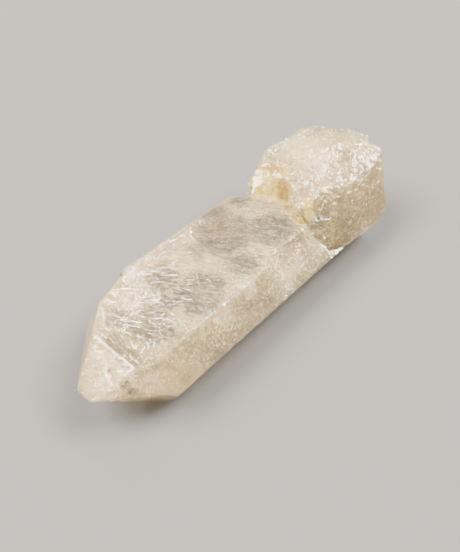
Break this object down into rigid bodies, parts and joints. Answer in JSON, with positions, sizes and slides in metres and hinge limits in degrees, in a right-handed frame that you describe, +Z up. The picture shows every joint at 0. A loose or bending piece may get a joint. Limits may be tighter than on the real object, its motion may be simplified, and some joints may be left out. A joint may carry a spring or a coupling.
{
  "type": "quartz crystal",
  "caption": "Single cloudy quartz crystal lying on a prism face, with a chisel-like point and a broken, lumpy root grown on at its other end.",
  "frame": {"origin": "bottom centre of the crystal's box, on the surface it lies on", "axes": "+Y along the crystal's long axis from its point to its broken root, +Z up from the prism face it lies on, +X to its right seen from the point"},
  "size_m": [0.04, 0.114, 0.0285],
  "materials": {
    "cloudy_quartz": "natural quartz, glassy on its grown faces and glittering on its breaks, cloudy inside, stained ochre with iron round the neck"
  },
  "bodies": {
    "root": {"quartz_crystal": "cloudy_quartz"}
  },
  "joints": []
}
